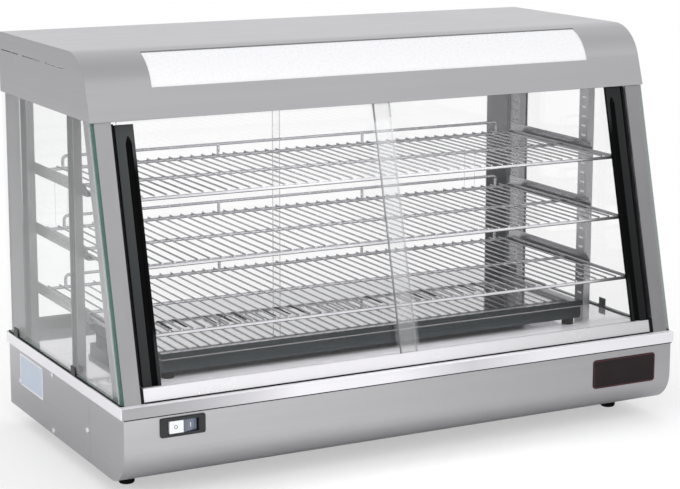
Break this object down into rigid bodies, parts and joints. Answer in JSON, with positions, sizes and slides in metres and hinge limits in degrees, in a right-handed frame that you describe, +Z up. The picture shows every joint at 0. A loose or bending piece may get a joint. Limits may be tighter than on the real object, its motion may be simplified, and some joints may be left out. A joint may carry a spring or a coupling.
{
  "type": "heated display case",
  "caption": "Counter-top heated display case: stainless base and canopy, glazed sides, sliding glass doors front and back, wire racks on slotted uprights, lit front window.",
  "frame": {"origin": "on the floor under the middle of the rim", "axes": "+X to the right as seen from the front, +Y to the back, +Z up"},
  "size_m": [0.9, 0.474, 0.594],
  "materials": {
    "stainless": "brushed sheet, polished on the deck",
    "track_aluminium": "satin extrusion",
    "rack_chrome": "bright plated wire",
    "clear_glass": "clear toughened glass with polished edges",
    "black_plastic": "satin black moulding",
    "badge_black": "gloss black plate with no marking",
    "black_rubber": "matt black rubber",
    "opal_plastic": "opal white, lit from behind",
    "clear_plastic": "translucent rocker under a clear cap",
    "lamp_glass": "white coated lamp tube",
    "white_plastic": "white terminal body",
    "enamel_white": "white enamelled can"
  },
  "bodies": {
    "case": {"badge_plate": "badge_black", "ballast": "enamel_white", "brackets_left": "stainless", "brackets_right": "stainless", "canopy_end_left": "stainless", "canopy_end_right": "stainless", "canopy_hood": "stainless", "ceiling": "stainless", "cord_gland": "black_plastic", "deck": "stainless", "element_left": "stainless", "element_right": "stainless", "feet": "black_rubber", "floor_plate": "stainless", "front_apron": "stainless", "front_post_left": "stainless", "front_post_right": "stainless", "front_track_lower": "track_aluminium", "front_track_upper": "track_aluminium", "glass_clips": "black_plastic", "guard_bottom": "rack_chrome", "guard_middle": "rack_chrome", "guard_top": "rack_chrome", "heater_cover": "stainless", "heater_feet": "black_rubber", "heater_tray": "stainless", "lamp_diffuser": "opal_plastic", "lamp_holders": "opal_plastic", "lamp_tube": "lamp_glass", "mid_upright_left": "stainless", "mid_upright_right": "stainless", "panel_screws": "stainless", "post_seal_left": "black_rubber", "post_seal_right": "black_rubber", "rack_bottom": "rack_chrome", "rack_middle": "rack_chrome", "rack_top": "rack_chrome", "rear_jamb_left": "stainless", "rear_jamb_right": "stainless", "rear_panel": "stainless", "rear_track_lower": "track_aluminium", "rear_track_upper": "track_aluminium", "rear_upright_left": "stainless", "rear_upright_right": "stainless", "side_glass_left": "clear_glass", "side_glass_right": "clear_glass", "side_panel_left": "stainless", "side_panel_right": "stainless", "switch_bezel": "black_plastic", "terminal_block": "white_plastic", "thermostat": "black_plastic"},
    "front_left_door": {"front_door_left": "clear_glass", "front_pull_left": "black_plastic"},
    "front_right_door": {"front_door_right": "clear_glass", "front_pull_right": "black_plastic"},
    "rear_left_door": {"rear_door_left": "clear_glass"},
    "rear_right_door": {"rear_door_right": "clear_glass"},
    "rocker": {"switch_rocker": "clear_plastic"},
    "knob": {"thermostat_knob": "black_plastic"}
  },
  "joints": [
    {"name": "front_left_slide", "type": "slide", "parent": "case", "child": "front_left_door", "axis": [1, 0, 0], "range_m": [0, 0.38]},
    {"name": "front_right_slide", "type": "slide", "parent": "case", "child": "front_right_door", "axis": [1, 0, 0], "range_m": [-0.38, 0]},
    {"name": "rear_left_slide", "type": "slide", "parent": "case", "child": "rear_left_door", "axis": [1, 0, 0], "range_m": [0, 0.42]},
    {"name": "rear_right_slide", "type": "slide", "parent": "case", "child": "rear_right_door", "axis": [1, 0, 0], "range_m": [-0.42, 0]},
    {"name": "rocker_pivot", "type": "hinge", "parent": "case", "child": "rocker", "pos_m": [-0.3615, -0.229, 0.103], "axis": [0, 0, 1], "range_deg": [-16, 0]},
    {"name": "knob_turn", "type": "hinge", "parent": "case", "child": "knob", "pos_m": [0.25, 0.225, 0.082], "axis": [0, 1, 0], "range_deg": [-270, 0]}
  ]
}
